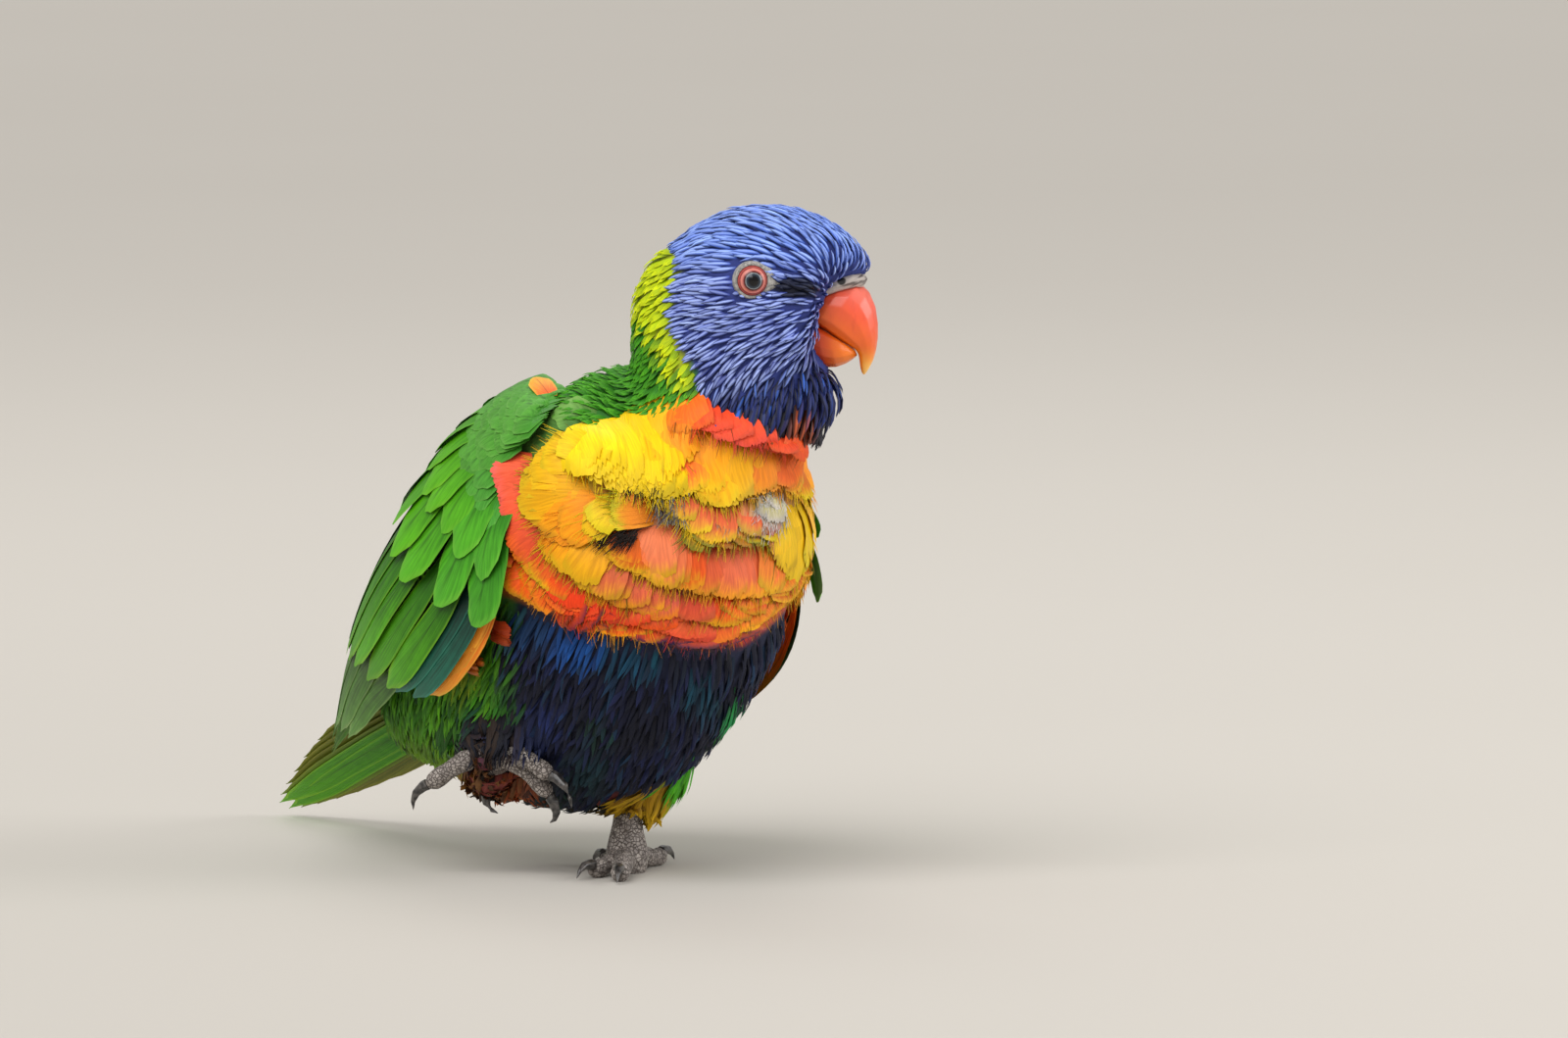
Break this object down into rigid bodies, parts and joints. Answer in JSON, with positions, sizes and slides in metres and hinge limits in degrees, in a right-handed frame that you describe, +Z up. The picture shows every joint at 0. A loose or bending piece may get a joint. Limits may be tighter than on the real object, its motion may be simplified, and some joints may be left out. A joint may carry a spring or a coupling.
{
  "type": "rainbow lorikeet bird model",
  "caption": "Life-size still model of a rainbow lorikeet standing on one foot, the other drawn up, head turned to its left.",
  "frame": {"origin": "on the floor, under the middle of the sole of the standing left foot", "axes": "+Z up, body faces -Y with its tail to +Y, bird's left side to +X"},
  "size_m": [0.0961, 0.206, 0.1558],
  "materials": {
    "head_plumage": "fine stiff violet-blue feathers with pale shaft streaks",
    "collar_plumage": "soft lime-yellow nape feathers, green below",
    "breast_plumage": "broad fringed yellow and red-orange feathers, dark blue on the belly",
    "green_plumage": "bright green feathers, smooth and slightly glossy",
    "thigh_plumage": "loose yellow-orange and olive feathers",
    "bill": "coral-red to orange horn, smooth",
    "cere": "grey bare skin",
    "eye": "wet and glossy",
    "foot_skin": "grey scaled skin",
    "claw": "dark grey horn, satin"
  },
  "bodies": {
    "root": {"head": "head_plumage", "neck": "collar_plumage", "torso": "breast_plumage", "tail": "green_plumage", "wing_left": "green_plumage", "wing_right": "green_plumage", "upper_bill": "bill", "lower_bill": "bill", "cere": "cere", "eye_left": "eye", "eye_right": "eye", "thigh_left": "thigh_plumage", "thigh_right": "thigh_plumage", "tarsus_left": "foot_skin", "tarsus_right": "foot_skin", "toe_left_1": "foot_skin", "claw_left_1": "claw", "toe_left_2": "foot_skin", "claw_left_2": "claw", "toe_left_3": "foot_skin", "claw_left_3": "claw", "toe_left_4": "foot_skin", "claw_left_4": "claw", "toe_right_1": "foot_skin", "claw_right_1": "claw", "toe_right_2": "foot_skin", "claw_right_2": "claw", "toe_right_3": "foot_skin", "claw_right_3": "claw", "toe_right_4": "foot_skin", "claw_right_4": "claw"}
  },
  "joints": []
}
